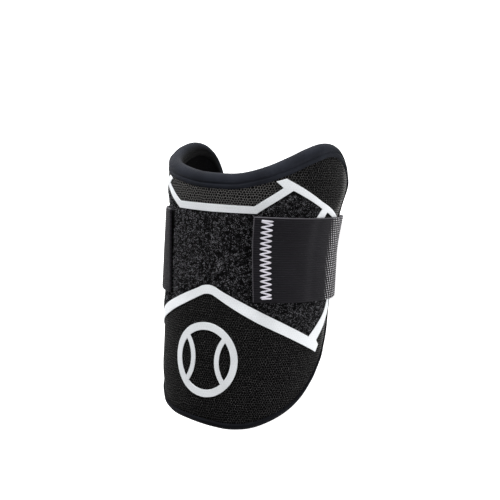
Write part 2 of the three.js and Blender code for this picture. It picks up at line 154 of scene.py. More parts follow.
# Painted shade between the strap's glint dots, and the colour of those painted glints
GLINT_GAP_SHADE, GLINT_DOT = (0.002, 0.002, 0.002), (0.45, 0.44, 0.46)
# Painted highlight along the strap's hooked end and upper edge
EDGE_HIGHLIGHT = (0.075, 0.072, 0.08)


class GuardSizes(PropertyGroup):
    """Sizes of the guard."""

    length: FloatProperty(
        name="Length", description="From the lower end to the tip of the horns",
        default=0.1652, unit="LENGTH")
    sleeve_radius: FloatProperty(
        name="Sleeve radius", description="Outside radius under the strap",
        default=0.051, unit="LENGTH")
    upper_radius: FloatProperty(
        name="Upper radius", description="Outside radius where the pad swells above the strap",
        default=0.0536, unit="LENGTH")
    rim_radius: FloatProperty(
        name="Rim radius", description="Outside radius at the upper rim",
        default=0.0524, unit="LENGTH")
    lower_radius: FloatProperty(
        name="Lower radius", description="Outside radius at the lower end",
        default=0.0498, unit="LENGTH")
    side_squeeze: FloatProperty(
        name="Side squeeze", description="How far the strap draws the right side in",
        default=0.006, unit="LENGTH")
    axis_offset: FloatProperty(
        name="Axis offset", description="Sideways place of the sleeve's axis",
        default=0.001284, unit="LENGTH")
    cover_thickness: FloatProperty(
        name="Cover", description="Thickness of the knit cover", default=0.0012, unit="LENGTH")
    liner_thickness: FloatProperty(
        name="Pad", description="Thickness of the foam and its lining",
        default=0.0056, unit="LENGTH")
    clearance: FloatProperty(
        name="Clearance", description="Gap between neighbouring pieces",
        default=0.0003, unit="LENGTH")
    knit_cell: FloatProperty(
        name="Knit cell", description="Width of a cell of the honeycomb knit",
        default=0.00158, unit="LENGTH")
    tuck: FloatProperty(
        name="Tuck", description="How far the cover runs under its binding",
        default=0.0004, unit="LENGTH")
    roll_bulge: FloatProperty(
        name="Roll bulge", description="How much thicker the binding is than the pad",
        default=0.0006, unit="LENGTH")
    collar_width: FloatProperty(
        name="Collar", description="Width of the rolled collar", default=0.009, unit="LENGTH")
    piping_width: FloatProperty(
        name="Piping", description="Width of the narrow binding", default=0.004, unit="LENGTH")
    strap_width: FloatProperty(
        name="Strap width", description="Width of the elastic strap",
        default=0.0484, unit="LENGTH")
    strap_level: FloatProperty(
        name="Strap level", description="Height of the strap's middle line on the guard",
        default=0.016, unit="LENGTH")
    strap_thickness: FloatProperty(
        name="Strap thickness", description="Thickness of the elastic",
        default=0.0016, unit="LENGTH")
    strap_inner: FloatProperty(
        name="Strap clearance", description="Height of the strap's inner face over the sleeve",
        default=0.0015, unit="LENGTH")
    strap_front_end: FloatProperty(
        name="Hooked end", description="Angle of the strap's hooked end",
        default=math.radians(28.5), subtype="ANGLE")
    strap_sewn_end: FloatProperty(
        name="Sewn end", description="Angle of the strap's sewn end",
        default=math.radians(-33.5), subtype="ANGLE")
    front_slant: FloatProperty(
        name="Hooked end slant", description="How far the hooked end leans",
        default=0.0036, unit="LENGTH")
    sewn_slant: FloatProperty(
        name="Sewn end slant", description="How far the sewn end leans",
        default=0.0062, unit="LENGTH")
    right_turn: FloatProperty(
        name="Right turn", description="Angle where the strap leaves the sleeve on the right",
        default=math.radians(118), subtype="ANGLE")
    left_turn: FloatProperty(
        name="Left turn", description="Angle where the strap leaves the sleeve on the left",
        default=math.radians(-128), subtype="ANGLE")
    left_turn_radius: FloatProperty(
        name="Left turn radius", description="Radius of the strap's left turn",
        default=0.0088, unit="LENGTH")
    rib_pitch: FloatProperty(
        name="Rib pitch", description="Distance between the ribs of the elastic",
        default=0.00131, unit="LENGTH")
    rib_height: FloatProperty(
        name="Rib height", description="Height of the ribs of the elastic",
        default=0.00028, unit="LENGTH")
    hook_length: FloatProperty(
        name="Hook patch", description="Length of the hook patch", default=0.03, unit="LENGTH")
    hook_thickness: FloatProperty(
        name="Hook thickness", description="Thickness of the hook patch",
        default=0.001, unit="LENGTH")
    hook_inset: FloatProperty(
        name="Hook inset", description="Distance of the hook patch from the strap's edges",
        default=0.0012, unit="LENGTH")
    motif_diameter: FloatProperty(
        name="Emblem", description="Diameter of the ball emblem", default=0.043, unit="LENGTH")
    motif_stroke: FloatProperty(
        name="Emblem stroke", description="Width of the emblem's lines",
        default=0.0044, unit="LENGTH")
    motif_drop: FloatProperty(
        name="Emblem place",
        description="Place of the emblem as a share of the field below the strap",
        default=0.47)
    mark_diameter: FloatProperty(
        name="Strap mark", description="Diameter of the ball mark on the strap",
        default=0.03, unit="LENGTH")
    mark_stroke: FloatProperty(
        name="Mark stroke", description="Width of the mark's lines", default=0.0032, unit="LENGTH")
    mark_angle: FloatProperty(
        name="Mark angle", description="Place of the mark round the sleeve",
        default=math.radians(-79), subtype="ANGLE")
    zigzag_teeth: IntProperty(name="Zigzag", description="Teeth of the zigzag stitch", default=14)


class GuardFinish(PropertyGroup):
    """Colours of the guard."""

    jersey: FloatVectorProperty(
        name="Jersey", description="Collar, binding and lining",
        default=(0.0122, 0.0137, 0.0188), subtype="COLOR", size=3, min=0, max=1)
    # The lining's own black, darkened further as painted shade of the pad's unlit inside
    lining: FloatVectorProperty(
        name="Lining", description="Jersey on the arm side of the pad",
        default=(0.0014, 0.0014, 0.0017), subtype="COLOR", size=3, min=0, max=1)
    knit: FloatVectorProperty(
        name="Knit", description="Strands of the honeycomb knit",
        default=(0.0062, 0.0062, 0.0068), subtype="COLOR", size=3, min=0, max=1)
    # Colour of the painted highlights on the knit: strands above the strap, along the right side
    # and scattered
    glinting: FloatVectorProperty(
        name="Glinting knit", description="Strands where the knit is stretched",
        default=(0.122, 0.12, 0.117), subtype="COLOR", size=3, min=0, max=1)
    pile: FloatVectorProperty(
        name="Pile", description="Loops of the pile panel",
        default=(0.002, 0.002, 0.0023), subtype="COLOR", size=3, min=0, max=1)
    elastic: FloatVectorProperty(
        name="Elastic", description="Ribs of the strap",
        default=(0.0155, 0.0145, 0.018), subtype="COLOR", size=3, min=0, max=1)
    film: FloatVectorProperty(
        name="Film", description="Stripes and motifs",
        default=(0.67, 0.69, 0.712), subtype="COLOR", size=3, min=0, max=1)
    hook: FloatVectorProperty(
        name="Hook tape", description="Moulded hook tape",
        default=(0.02, 0.02, 0.021), subtype="COLOR", size=3, min=0, max=1)
    thread: FloatVectorProperty(
        name="Thread", description="Zigzag thread",
        default=(0.58, 0.56, 0.62), subtype="COLOR", size=3, min=0, max=1)


def smoothstep(value, low, high):
    share = np.clip((value - low) / (high - low), 0, 1)
    return share * share * (3 - 2 * share)


def bell(distance, width):
    """A smooth hill, 1 high at its middle."""
    return np.exp(-((distance / width) ** 2))


def smooth_loop(points, count, between=24):
    """Evenly spaced points on a closed smooth curve through the given ones."""
    here = np.array(points, float)
    before, after, beyond = (np.roll(here, turn, axis=0) for turn in (1, -1, -2))
    spans = [np.sqrt(np.linalg.norm(b - a, axis=1))[:, None]
             for a, b in ((before, here), (here, after), (after, beyond))]
    leave = ((here - before) / spans[0] - (after - before) / (spans[0] + spans[1])
             + (after - here) / spans[1]) * spans[1]
    arrive = ((after - here) / spans[1] - (beyond - here) / (spans[1] + spans[2])
              + (beyond - after) / spans[2]) * spans[1]
    t = np.linspace(0, 1, between, endpoint=False)[None, :, None]
    curve = ((2 * t**3 - 3 * t**2 + 1) * here[:, None] + (t**3 - 2 * t**2 + t) * leave[:, None]
             + (3 * t**2 - 2 * t**3) * after[:, None] + (t**3 - t**2) * arrive[:, None])
    curve = curve.reshape(-1, here.shape[1])
    curve = np.vstack([curve, curve[:1]])
    way = np.concatenate([[0], np.cumsum(np.linalg.norm(np.diff(curve, axis=0), axis=1))])
    even = np.linspace(0, way[-1], count, endpoint=False)
    return np.stack([np.interp(even, way, column) for column in curve.T], axis=1)


class Pattern:
    """The guard's flat pattern, and the way from it onto the arm."""

    def __init__(self, sizes):
        self.sizes = sizes
        self.half = sizes.length / 2
        self.strap_top = sizes.strap_level + sizes.strap_width / 2
        self.strap_bottom = sizes.strap_level - sizes.strap_width / 2
        self.front = OUTLINE[0][1] * self.half
        self.upper_field = self.front - self.strap_top
        self.lower_field = self.strap_bottom + self.half
        self.liner_outer = -sizes.cover_thickness - sizes.clearance
        self.liner_inner = self.liner_outer - sizes.liner_thickness
        self.strap_radius = sizes.sleeve_radius + sizes.strap_inner + sizes.strap_thickness / 2
        turn = math.cos(sizes.left_turn)
        self.axis_height = (sizes.strap_thickness / 2 - self.strap_radius * turn
                            + sizes.left_turn_radius * (1 + turn))
        rows = [(*self.flat(angle, level * self.half),
                 sizes.piping_width + collar * (sizes.collar_width - sizes.piping_width))
                for angle, level, collar in OUTLINE]
        self.edge = smooth_loop(rows, EDGE_STEPS)
        ahead = np.roll(self.edge[:, :2], -1, axis=0) - np.roll(self.edge[:, :2], 1, axis=0)
        ahead /= np.linalg.norm(ahead, axis=1)[:, None]
        self.inward = np.stack([ahead[:, 1], -ahead[:, 0]], axis=1)
        self.field = self.edge[:, :2] + self.inward * (self.edge[:, 2:] - sizes.tuck)
        self.way = self.strap_way()

    def flat(self, angle, level):
        return self.sizes.sleeve_radius * math.radians(angle), level

    def upper(self, angle, rise):
        return self.flat(angle, self.strap_top + rise * self.upper_field)

    def lower(self, angle, drop):
        return self.flat(angle, self.strap_bottom - drop * self.lower_field)

    def radius_at(self, level):
        """Outer radius of the cover: swollen above the strap and narrower at the lower end."""
        sizes = self.sizes
        swell = smoothstep(level, self.strap_top, self.front)
        curl = smoothstep(level, (self.strap_top + self.front) / 2, self.half)
        lower = smoothstep(-level, -self.strap_bottom, self.half)
        return (sizes.sleeve_radius + swell * (sizes.upper_radius - sizes.sleeve_radius)
                - curl * (sizes.upper_radius - sizes.rim_radius)
                - lower * (sizes.sleeve_radius - sizes.lower_radius))

    def placed(self, x, y, z):
        """Points round the axis, drawn in on the right and moved to the frame's origin."""
        sizes = self.sizes
        pull = smoothstep(-y, -self.front, -sizes.strap_level) * sizes.side_squeeze
        x = np.where(x > 0, x * (1 - pull / sizes.sleeve_radius), x)
        return np.stack([x + sizes.axis_offset, y, z + self.axis_height], axis=1)

    def wrap(self, flat):
        """From the flat pattern to the sleeve: x runs round it, y along it, z out of its cover."""
        angle = flat[:, 0] / self.sizes.sleeve_radius
        radius = self.radius_at(flat[:, 1]) + flat[:, 2]
        return self.placed(radius * np.sin(angle), flat[:, 1], radius * np.cos(angle))

    def edge_distance(self, points):
        """Distance of flat points from the seam of the binding."""
        best = np.full(len(points), 1.0)
        for start in range(0, len(points), 4000):
            part = points[start:start + 4000, None, :2] - self.field[None]
            best[start:start + 4000] = np.sqrt((part**2).sum(axis=2).min(axis=1))
        return best

    def relief(self, points):
        """Height of the padded cover over the plain sleeve: full between its seams, flat under
        the strap, with soft unevenness."""
        x, y = points[:, 0], points[:, 1]
        inside = self.edge_distance(points)
        half_strap = self.sizes.strap_width / 2
        away = np.abs(y - self.sizes.strap_level)
        free = smoothstep(away, half_strap, half_strap + STRAP_FADE)
        full = CROWN * smoothstep(inside, 0, CROWN_REACH) * (0.25 + 0.75 * free)
        uneven = np.sin(x * 118 + 1.3) * np.sin(y * 94 + 0.4) + 0.6 * np.sin(x * 61 - y * 143 + 2.1)
        uneven = UNEVEN * uneven * free * smoothstep(inside, 0, UNEVEN_REACH)
        return full - SEAM_DEPTH * bell(inside, SEAM_WIDTH) + uneven

    def strap_way(self):
        """Middle line of the strap seen along the arm: two arcs on the sleeve, two turns and a
        flat back, as distance, place and heading of its outer side."""
        sizes = self.sizes
        drop = self.axis_height - sizes.strap_thickness / 2
        reach, right_turn = self.strap_radius, sizes.right_turn
        left_turn = 2 * math.pi + sizes.left_turn
        right = (drop + reach * math.cos(right_turn)) / (1 + math.cos(right_turn))
        left = sizes.left_turn_radius
        arcs = (
            (0, 0, reach, sizes.strap_front_end, right_turn),
            ((reach - right) * math.sin(right_turn), right - drop, right, right_turn, math.pi),
            ((reach - left) * math.sin(sizes.left_turn), left - drop, left, math.pi, left_turn),
            (0, 0, reach, left_turn, 2 * math.pi + sizes.strap_sewn_end),
        )
        rows = []
        for x, z, radius, start, end in arcs:
            turn = np.linspace(start, end, ARC_STEPS)
            place = x + radius * np.sin(turn), z + radius * np.cos(turn)
            rows.append(np.column_stack([*place, turn]))
        rows = np.vstack(rows)
        steps = np.linalg.norm(np.diff(rows[:, :2], axis=0), axis=1)
        return np.column_stack([np.concatenate([[0], np.cumsum(steps)]), rows])

    def on_strap(self, distance, level, height):
        """A point by its distance along the strap, its level and its height over the middle."""
        x, z, heading = (np.interp(distance, self.way[:, 0], self.way[:, k]) for k in (1, 2, 3))
        return self.placed(x + height * np.sin(heading), level, z + height * np.cos(heading))

    def strap_lift(self, distance):
        """How far the hook patch lifts the strap's hooked end."""
        sizes = self.sizes
        end = sizes.hook_length + sizes.hook_inset + sizes.front_slant
        ramp = 1 - smoothstep(distance, end, end + 10 * MM)
        return (sizes.hook_thickness + sizes.clearance) * ramp

    def strap_flat(self, along, level):
        """Distance along the strap for a share of its length, between its slanted ends."""
        lean = (level - self.sizes.strap_level) / self.sizes.strap_width
        start = self.sizes.front_slant * (0.5 - lean)
        end = self.way[-1, 0] - self.sizes.sewn_slant * (0.5 + lean)
        return start + (end - start) * along


def coordinates(bm):
    return np.array([vert.co[:] for vert in bm.verts])


def set_coordinates(bm, points):
    for vert, point in zip(bm.verts, points):
        vert.co = point


def set_uv(bm, values):
    """Gives each corner the flat place of its point as its UV."""
    layer = bm.loops.layers.uv.new("Flat")
    bm.verts.index_update()
    for face in bm.faces:
        for loop in face.loops:
            loop[layer].uv = values[loop.vert.index][:2]


def unit_grid(columns, rows):
    """A flat grid from -1 to 1 both ways."""
    bm = bmesh.new()
    bmesh.ops.create_grid(bm, x_segments=columns, y_segments=rows, size=1)
    return bm


def unit_slab(columns, rows):
    """The same grid with two faces; also its points, and which of them are outside."""
    bm = unit_grid(columns, rows)
    bmesh.ops.solidify(bm, geom=bm.faces[:], thickness=0.5)
    points = coordinates(bm)
    return bm, points, points[:, 2] >= points[:, 2].mean()


def close_tube(bm):
    """Joins the long edges of a rolled sheet and fills its two ends."""
    bmesh.ops.remove_doubles(bm, verts=bm.verts, dist=1e-6)
    fill_ends(bm)


def fill_ends(bm):
    bmesh.ops.holes_fill(bm, edges=[edge for edge in bm.edges if edge.is_boundary], sides=0)


def new_mesh(bm, name):
    mesh = bpy.data.meshes.new(name)
    bm.to_mesh(mesh)
    bm.free()
    return mesh


def new_object(name, data):
    item = bpy.data.objects.new(name, data)
    bpy.context.collection.objects.link(item)
    return item


def make_piece(bm, name, material, replaced=(), smooth=True):
    """Turns a finished bmesh into a piece of the guard."""
    bmesh.ops.recalc_face_normals(bm, faces=bm.faces)
    for face in bm.faces:
        face.smooth = smooth
    piece = new_object(name, new_mesh(bm, name))
    piece.data.materials.append(material)
    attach(piece, "root")
    if replaced:
        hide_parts(*replaced)
    return piece


def field_sheet(pattern, segments):
    """A flat sheet of quads that fills the field inside the binding, spread from its middle."""
    bm = unit_grid(segments, segments)
    square = coordinates(bm)
    reach = np.abs(square[:, :2]).max(axis=1)
    share = (np.arctan2(square[:, 0], square[:, 1]) / (2 * math.pi)) % 1
    loop = np.vstack([pattern.field, pattern.field[:1]])
    marks = np.linspace(0, 1, len(loop))
    rim = np.stack([np.interp(share, marks, loop[:, k]) for k in (0, 1)], axis=1)
    middle = np.array([0, 6 * MM])
    flat = middle + (rim - middle) * reach[:, None]
    set_coordinates(bm, np.column_stack([flat, np.zeros(len(flat))]))
    return bm


def wall(bm, thickness, pattern, outer, inner):
    """Gives a flat sheet its thickness, sets its two faces by height functions and wraps it."""
    bmesh.ops.solidify(bm, geom=bm.faces[:], thickness=thickness)
    points = coordinates(bm)
    set_uv(bm, points)
    low = points[:, 2] < points[:, 2].mean()
    points[:, 2] = np.where(low, inner(points), outer(points))
    set_coordinates(bm, pattern.wrap(points))
    return bm


def raise_plate(bm, height, bevel):
    """Raises flat faces to a plate with a small rounded edge."""
    bmesh.ops.recalc_face_normals(bm, faces=bm.faces)
    raised = bmesh.ops.extrude_face_region(bm, geom=bm.faces[:])["geom"]
    top = [item for item in raised if isinstance(item, bmesh.types.BMVert)]
    bmesh.ops.translate(bm, verts=top, vec=(0, 0, height))
    bm.normal_update()
    rim = [edge for edge in bm.edges
           if all(v.co.z > height / 2 for v in edge.verts) and edge.calc_face_angle(0) > 0.5]
    bmesh.ops.bevel(bm, geom=rim, offset=bevel, segments=2, profile=0.5, affect="EDGES",
                    material=-1)


def outline_face(bm, outline):
    bm.faces.new([bm.verts.new((x, y, 0)) for x, y in outline])


def plate(outline, height, bevel, spacing):
    """A flat outline raised to a height and cut fine enough to bend."""
    bm = bmesh.new()
    outline_face(bm, outline)
    raise_plate(bm, height, bevel)
    bmesh.ops.triangulate(bm, faces=[face for face in bm.faces if len(face.verts) > 4])
    slice_plate(bm, spacing)
    return bm


def slice_plate(bm, spacing):
    """Cuts a flat mesh along lines at even distances both ways."""
    points = coordinates(bm)
    low, high = points.min(axis=0), points.max(axis=0)
    for axis in (0, 1):
        for place in np.arange(low[axis] + spacing[axis], high[axis], spacing[axis]):
            spot, normal = Vector(), Vector()
            spot[axis], normal[axis] = place, 1
            bmesh.ops.bisect_plane(bm, geom=bm.verts[:] + bm.edges[:] + bm.faces[:],
                                   plane_co=spot, plane_no=normal, dist=1e-7)


def lay_on_cover(bm, pattern, lift):
    """Wraps a flat plate over the cover's relief, a little above it."""
    points = coordinates(bm)
    set_uv(bm, points)
    points[:, 2] += pattern.relief(points) + lift
    set_coordinates(bm, pattern.wrap(points))
    return bm


def mirrored(points, share, reach=180):
    """The left half of an outline: its upper branches a little lower, its ends cut at an angle."""
    turned = [(-min(angle, reach), value * (share if angle > 30 else 1))
              for angle, value in reversed(points) if angle > 0]
    return [row for row, following in zip(turned, [*turned[1:], None]) if row != following]


class Tree:
    """Short ways to add nodes to a tree; what they return is a socket, or more than one."""

    def __init__(self, tree):
        self.tree = tree

    def add(self, kind, inputs=None, **settings):
        node = self.tree.nodes.new(kind)
        for name, value in settings.items():
            setattr(node, name, value)
        for name, value in (inputs or {}).items():
            if isinstance(value, bpy.types.NodeSocket):
                self.link(value, node.inputs[name])
            else:
                node.inputs[name].default_value = value
        return node

    def link(self, value, socket):
        self.tree.links.new(value, socket)

    def maths(self, operation, *values):
        return self.add("ShaderNodeMath", dict(enumerate(values)), operation=operation).outputs[0]

    def times(self, first, second):
        return self.maths("MULTIPLY", first, second)

    def plus(self, first, second):
        return self.maths("ADD", first, second)

    def inverse(self, value):
        return self.maths("SUBTRACT", 1.0, value)

    def vector(self, operation, *values):
        node = self.add("ShaderNodeVectorMath", dict(enumerate(values)), operation=operation)
        return node.outputs["Value" if operation == "DOT_PRODUCT" else "Vector"]

    def scaled(self, vector, length, unit):
        """A vector in units of a length."""
        inputs = {0: vector, "Scale": self.maths("DIVIDE", unit, length)}
        return self.add("ShaderNodeVectorMath", inputs, operation="SCALE").outputs["Vector"]

    def parts(self, vector):
        """The x and the y of a vector."""
        return self.add("ShaderNodeSeparateXYZ", {0: vector}).outputs[:2]

    def ramp(self, value, low, high):
        inputs = {"Value": value, "From Min": low, "From Max": high}
        return self.add("ShaderNodeMapRange", inputs, interpolation_type="SMOOTHSTEP").outputs[0]

    def noise(self, vector, scale, detail, output="Fac", **more):
        inputs = {"Vector": vector, "Scale": scale, "Detail": detail, **more}
        return self.add("ShaderNodeTexNoise", inputs).outputs[output]

    def mix(self, factor, first, second):
        """Blends two colours, each a socket or three numbers."""
        first, second = (colour if isinstance(colour, bpy.types.NodeSocket) else (*colour, 1)
                         for colour in (first, second))
        inputs = {0: factor, 6: first, 7: second}
        return self.add("ShaderNodeMix", inputs, data_type="RGBA").outputs[2]

    def attribute(self, name):
        return self.add("ShaderNodeAttribute", attribute_name=name).outputs["Fac"]

    def group(self, name, build, **inputs):
        """A node group, built when it is first asked for."""
        tree = bpy.data.node_groups.get(name) or build(name)
        return self.add("ShaderNodeGroup", inputs, node_tree=tree).outputs


class Cloth(Tree):
    """A material on the flat coordinates, with the mottle that every cloth has."""

    def __init__(self, name, roughness, mottle_scale, specular=0.15, sheen=0.0):
        self.material = bpy.data.materials.new(name)
        self.material.use_nodes = True
        super().__init__(self.material.node_tree)
        self.shader = self.tree.nodes["Principled BSDF"].inputs
        self.shader["Roughness"].default_value = roughness
        self.shader["Sheen Weight"].default_value = sheen
        self.shader["Sheen Roughness"].default_value = 0.4
        self.shader["Specular IOR Level"].default_value = specular
        self.flat = self.add("ShaderNodeUVMap", uv_map="Flat").outputs["UV"]
        self.mottle = self.group("Cloth mottle", mottle_group, Vector=self.flat, Scale=mottle_scale)

    def honeycomb(self):
        cell = bpy.context.scene.guard_sizes.knit_cell
        return self.group("Honeycomb knit", honeycomb_group, Vector=self.flat, Cell=cell)

    def mottled(self, base, spread):
        """The base colour, darker and lighter by the mottle."""
        dark = [c * (1 - spread) for c in base]
        light = [min(1, c * (1 + spread)) for c in base]
        return self.mix(self.mottle["Shade"], dark, light)

    def surface(self, colour, *bumps):
        """Sets the colour and the bumps, each with its height, strength and distance."""
        self.link(colour, self.shader["Base Color"])
        below = {}
        for height, strength, distance in bumps:
            inputs = {"Height": height, "Strength": strength, "Distance": distance, **below}
            below = {"Normal": self.add("ShaderNodeBump", inputs).outputs[0]}
        self.link(below["Normal"], self.shader["Normal"])
        return self.material


def group_tree(name, size, default, results):
    """A new node group that takes a place and a size; returns its tree and both its ends."""
    tree = bpy.data.node_groups.new(name, "ShaderNodeTree")
    tree.interface.new_socket("Vector", in_out="INPUT", socket_type="NodeSocketVector")
    socket = tree.interface.new_socket(size, in_out="INPUT", socket_type="NodeSocketFloat")
    socket.default_value = default
    for label in results:
        tree.interface.new_socket(label, in_out="OUTPUT", socket_type="NodeSocketFloat")
    t = Tree(tree)
    return t, t.add("NodeGroupInput").outputs, t.add("NodeGroupOutput").inputs


def honeycomb_group(name):
    """Open honeycomb knit: rims of the cells stand high, their middles lie low."""
    t, given, out = group_tree(name, "Cell", 1.6 * MM, ("Rim", "Strand"))
    scaled = t.scaled(given["Vector"], given["Cell"], 1.0)
    half = (0.5, math.sqrt(3) / 2, 0.5)
    low = tuple(-h for h in half)
    slant = (*half[:2], 0)
    warp = t.vector("SUBTRACT", t.noise(scaled, 0.4, 1.0, "Color"), (0.5, 0.5, 0.5))
    warp = t.vector("MULTIPLY", warp, (1.3, 1.3, 0))
    flat = t.vector("ADD", t.vector("MULTIPLY", scaled, (1, 1, 0)), warp)
    first = t.vector("WRAP", flat, half, low)
    second = t.vector("WRAP", t.vector("SUBTRACT", flat, slant), half, low)
    lengths = [t.vector("DOT_PRODUCT", cell, cell) for cell in (first, second)]
    nearer = {0: t.maths("LESS_THAN", *lengths), 4: second, 5: first}
    cell = t.vector("ABSOLUTE", t.add("ShaderNodeMix", nearer, data_type="VECTOR").outputs[1])
    reach = t.maths("MAXIMUM", t.parts(cell)[0], t.vector("DOT_PRODUCT", cell, slant))
    t.link(t.ramp(reach, 0.33, 0.48), out["Rim"])
    t.link(t.noise(flat, 5.0, 1.0), out["Strand"])
    return t.tree


def knit_group(name):
    """Fine jersey knit: columns of small slanting stitches."""
    t, given, out = group_tree(name, "Pitch", 0.5 * MM, ("Height",))
    x, y = t.parts(t.scaled(given["Vector"], given["Pitch"], 2 * math.pi))
    column = t.maths("ABSOLUTE", t.maths("SINE", x))
    slant = t.maths("SINE", t.plus(y, t.times(column, 1.6)))
    t.link(t.plus(t.times(column, 0.6), t.times(slant, 0.4)), out["Height"])
    return t.tree


def mottle_group(name):
    """Slow and fine unevenness of cloth, with a little lint."""
    t, given, out = group_tree(name, "Scale", 90.0, ("Shade", "Lint", "Crease"))
    place, scale = given["Vector"], given["Scale"]
    t.link(t.ramp(t.noise(place, scale, 3.0, Roughness=0.6), 0.3, 0.7), out["Shade"])
    t.link(t.ramp(t.noise(place, t.times(scale, 24), 2.0), 0.66, 0.8), out["Lint"])
    t.link(t.noise(place, t.times(scale, 0.6), 2.0, Distortion=0.8), out["Crease"])
    return t.tree


def jersey_material(name, base, inner, pitch, specular):
    """Fine jersey, turning to a darker second colour as painted shade on a roll's arm side, and on
    the piping.
    """
    t = Cloth(name, roughness=0.72, mottle_scale=70.0, specular=specular)
    knit = t.group("Fine jersey", knit_group, Vector=t.flat, Pitch=pitch)
    colour = t.mix(t.times(t.mottle["Lint"], 0.6), t.mottled(base, 0.22), JERSEY_LINT)
    # Painted shade on the arm side of each roll, and the piping's darker tone, take the second
    # colour
    colour = t.mix(t.attribute("arm_side"), colour, inner)
    crease = (t.mottle["Crease"], 0.25, 1.5 * MM)
    return t.surface(colour, crease, (knit["Height"], 0.5, 0.12 * MM))


def honeycomb_material(name, finish):
    """Honeycomb knit over dark holes, with painted highlights on its strands above the strap, at
    the right and at random.
    """
    t = Cloth(name, roughness=0.6, mottle_scale=60.0, specular=0.05)
    comb = t.honeycomb()
    x, y = t.parts(t.flat)
    # Painted highlight: lighter strands above the strap in front and, lighter still, along the
    # right side
    above = t.times(t.ramp(y, *GLINT_ABOVE), t.inverse(t.ramp(x, *GLINT_FRONT)))
    aside = t.ramp(x, *GLINT_ASIDE)
    glinting = t.times(t.maths("MAXIMUM", above, aside), 0.85)
    light = t.mix(aside, finish.glinting, [GLINT_GAIN * c for c in finish.glinting])
    strands = t.mix(glinting, t.mottled(finish.knit, 0.3), light)
    # Painted glints on scattered strands
    strands = t.mix(t.ramp(comb["Strand"], 0.52, 0.68), strands, finish.glinting)
    rough = t.add("ShaderNodeMapRange", {"Value": comb["Rim"], "To Min": 0.95, "To Max": 0.55})
    t.link(rough.outputs[0], t.shader["Roughness"])
    height = t.plus(comb["Rim"], t.times(comb["Strand"], 0.35))
    crease = (t.mottle["Crease"], 0.3, 2 * MM)
    return t.surface(t.mix(comb["Rim"], KNIT_HOLE, strands), crease, (height, 0.9, 0.34 * MM))


def pile_material(name, finish):
    """Dark pile with painted glints on some loops, fewer of them towards the right as painted
    shade.
    """
    t = Cloth(name, roughness=0.75, mottle_scale=80.0, specular=0.04)
    # Painted glints on loops picked at random, fading towards the right as painted shade
    glint_fade = t.ramp(t.parts(t.flat)[0], 12 * MM, 32 * MM)
    glints = t.times(t.ramp(t.attribute("shade"), 0.45, 0.95), t.inverse(t.times(glint_fade, 0.8)))
    colour = t.mix(glints, t.mottled(finish.pile, 0.35), PILE_GLINT)
    return t.surface(colour, (t.noise(t.flat, 2600.0, 3.0), 0.8, 0.4 * MM))


def elastic_material(name, finish):
    """Ribbed weave; painted highlight on its hooked end and top edge, painted glints round its
    right turn.
    """
    t = Cloth(name, roughness=0.65, mottle_scale=45.0, specular=0.05)
    sizes = bpy.context.scene.guard_sizes
    x, y = t.parts(t.flat)
    across = t.times(y, math.pi / sizes.rib_pitch)
    rib = t.maths("ABSOLUTE", t.maths("SINE", across))
    weft = t.maths("SINE", t.plus(t.times(x, 2 * math.pi / WEFT_PITCH), across))
    raised = t.times(t.ramp(rib, 0.0, 0.7), t.ramp(weft, -0.6, 1.0))
    colour = t.mix(raised, [0.45 * c for c in finish.elastic], t.mottled(finish.elastic, 0.2))
    colour = t.mix(t.times(t.mottle["Lint"], 0.5), colour, ELASTIC_LINT)
    # Painted glints round the right turn: the band is first darkened as painted shade, then light
    # dots go on the ribs
    shifted = t.plus(x, t.times(t.mottle["Crease"], 12 * MM))
    bend = t.times(t.ramp(shifted, *GLINT_START), t.inverse(t.ramp(shifted, *GLINT_END)))
    column = t.plus(t.times(x, 2 * math.pi / GLINT_DOT_PITCH), t.times(across, 0.35))
    glint_dots = t.times(t.ramp(rib, 0.5, 0.9), t.ramp(t.maths("SINE", column), 0.0, 0.6))
    colour = t.mix(t.times(bend, 0.8), colour, GLINT_GAP_SHADE)
    colour = t.mix(t.times(glint_dots, bend), colour, GLINT_DOT)
    # Painted highlight along the hooked end and the upper edge
    border = t.maths("MINIMUM", x, t.maths("SUBTRACT", sizes.strap_width, y))
    colour = t.mix(t.inverse(t.ramp(border, 0.3 * MM, 0.8 * MM)), colour, EDGE_HIGHLIGHT)
    return t.surface(colour, (t.plus(rib, t.times(weft, 0.35)), 0.6, 0.22 * MM))


def film_material(name, finish):
    """Pale film, through which the knit shows a little."""
    t = Cloth(name, roughness=0.45, mottle_scale=55.0, specular=0.45)
    rim = t.honeycomb()["Rim"]
    printed = t.times(t.inverse(rim), 0.24)
    colour = t.mix(printed, t.mottled(finish.film, 0.05), [0.6 * c for c in finish.film])
    return t.surface(colour, (t.mottle["Crease"], 0.3, 1.2 * MM), (rim, 0.25, 0.12 * MM))


def plain_material(name, base, roughness, grain):
    """Thread and moulded tape: one colour with a fine grain."""
    t = Cloth(name, roughness, mottle_scale=120.0, sheen=0.1)
    wave = t.add("ShaderNodeTexWave", {"Vector": t.flat, "Scale": grain, "Distortion": 1.0})
    return t.surface(t.mottled(base, 0.12), (wave.outputs["Fac"], 0.5, 0.1 * MM))


def material_named(name, build, *details):
    return bpy.data.materials.get(name) or build(name, *details)


def settings(context):
    """The sizes, the colours and the pattern that a step works with."""
    sizes = context.scene.guard_sizes
    return sizes, context.scene.guard_finish, Pattern(sizes)


class GUARD_OT_cover(Operator):
    """The honeycomb knit cover, full between its seams"""

    bl_idname = "guard.cover"
    bl_label = "Knit Cover"

    def execute(self, context):
        sizes, finish, pattern = settings(context)
        sheet = field_sheet(pattern, COVER_CUTS)
        bm = wall(sheet, sizes.cover_thickness, pattern, pattern.relief,
                  lambda points: np.full(len(points), -sizes.cover_thickness))
        knit = material_named("honeycomb_cloth", honeycomb_material, finish)
        make_piece(bm, "knit_cover_cloth", knit, ["knit_cover"])
        return {"FINISHED"}


